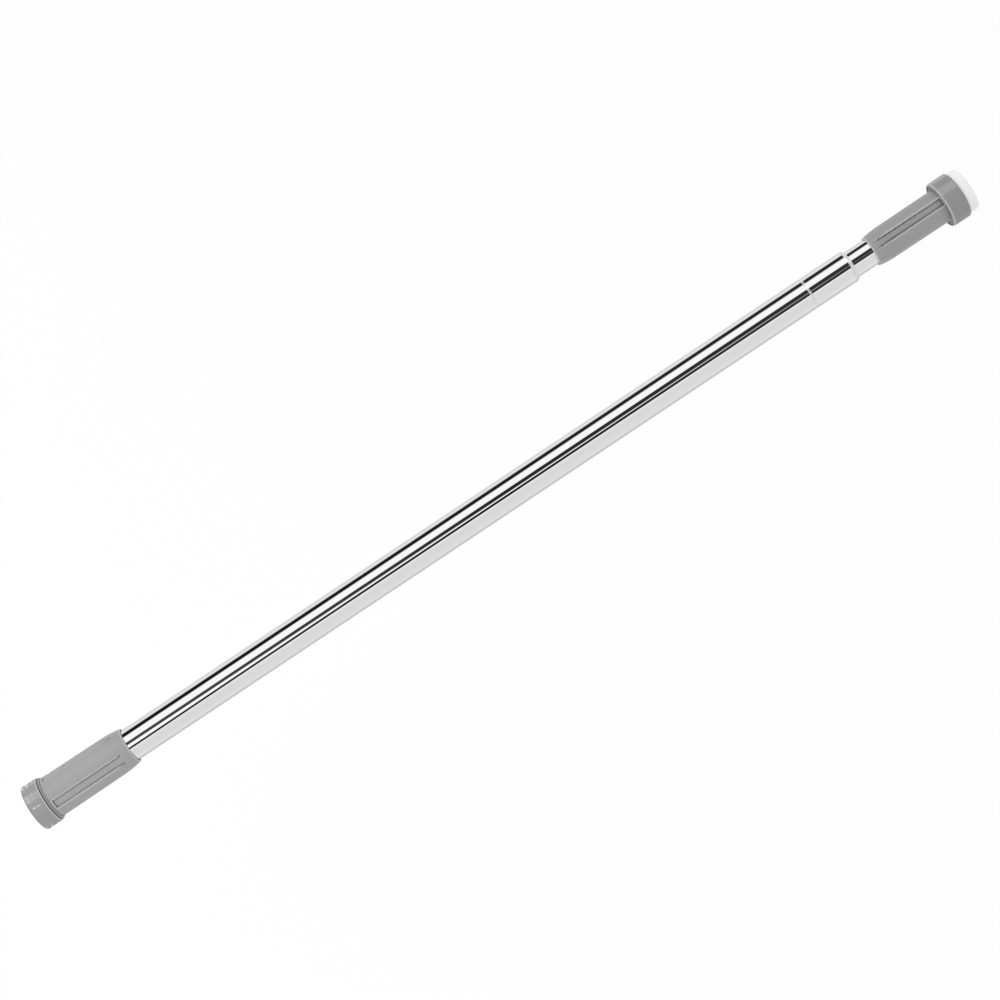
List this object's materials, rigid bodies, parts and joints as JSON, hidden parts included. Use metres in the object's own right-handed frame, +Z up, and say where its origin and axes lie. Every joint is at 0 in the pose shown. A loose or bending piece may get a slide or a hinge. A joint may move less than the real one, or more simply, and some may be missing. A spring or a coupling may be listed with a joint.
{
  "type": "shower curtain rod",
  "caption": "Telescopic shower curtain rod of polished metal tube with fluted plastic grips, round end cups, rubber wall pads, an inner twist lock and a sprung foot.",
  "frame": {"origin": "centre of the left wall pad's face, where it presses on the wall", "axes": "+X along the rod to the right end, +Z up, +Y away from the shower's front"},
  "size_m": [0.814, 0.036, 0.036],
  "materials": {
    "chrome_tube": "polished chrome plate on steel tube",
    "grey_plastic": "satin moulded plastic",
    "white_rubber": "matt soft rubber",
    "white_nylon": "natural nylon moulding",
    "screw_steel": "zinc plated",
    "spring_steel": "oiled spring wire"
  },
  "bodies": {
    "outer": {"left_wall_pad": "white_rubber", "left_foot_plate": "white_nylon", "left_cup": "grey_plastic", "left_cup_screw": "screw_steel", "left_grip": "grey_plastic", "left_tube_plug": "white_nylon", "outer_tube": "chrome_tube", "guide_bush": "white_nylon"},
    "glide": {"glide_ring": "white_nylon"},
    "inner": {"lock_core": "white_nylon", "cam_keeper": "screw_steel", "keeper_screw": "screw_steel", "inner_tube": "chrome_tube", "right_grip": "grey_plastic", "right_tube_plug": "white_nylon", "right_cup": "grey_plastic", "foot_spring": "spring_steel"},
    "cam": {"lock_cam": "white_nylon"},
    "foot": {"right_wall_pad": "white_rubber", "foot_plunger": "white_nylon", "stop_washer": "screw_steel", "stop_screw": "screw_steel"}
  },
  "joints": [
    {"name": "telescope", "type": "slide", "parent": "outer", "child": "glide", "axis": [1, 0, 0], "range_m": [-0.0165, 0.5]},
    {"name": "twist_lock", "type": "hinge", "parent": "glide", "child": "inner", "pos_m": [0.13, 0, 0], "axis": [1, 0, 0], "range_deg": [-45, 45]},
    {"name": "cam_turn", "type": "hinge", "parent": "inner", "child": "cam", "pos_m": [0.11, 0, 0.001], "axis": [1, 0, 0], "range_deg": [-45, 45]},
    {"name": "foot_press", "type": "slide", "parent": "inner", "child": "foot", "axis": [1, 0, 0], "range_m": [-0.0065, 0], "stiffness_N_per_m": 5000, "springref_m": 0.006, "deforming": ["foot_spring"]}
  ],
  "couplings": [
    {"joint": "cam_turn", "follows": "twist_lock", "ratio": -1}
  ]
}
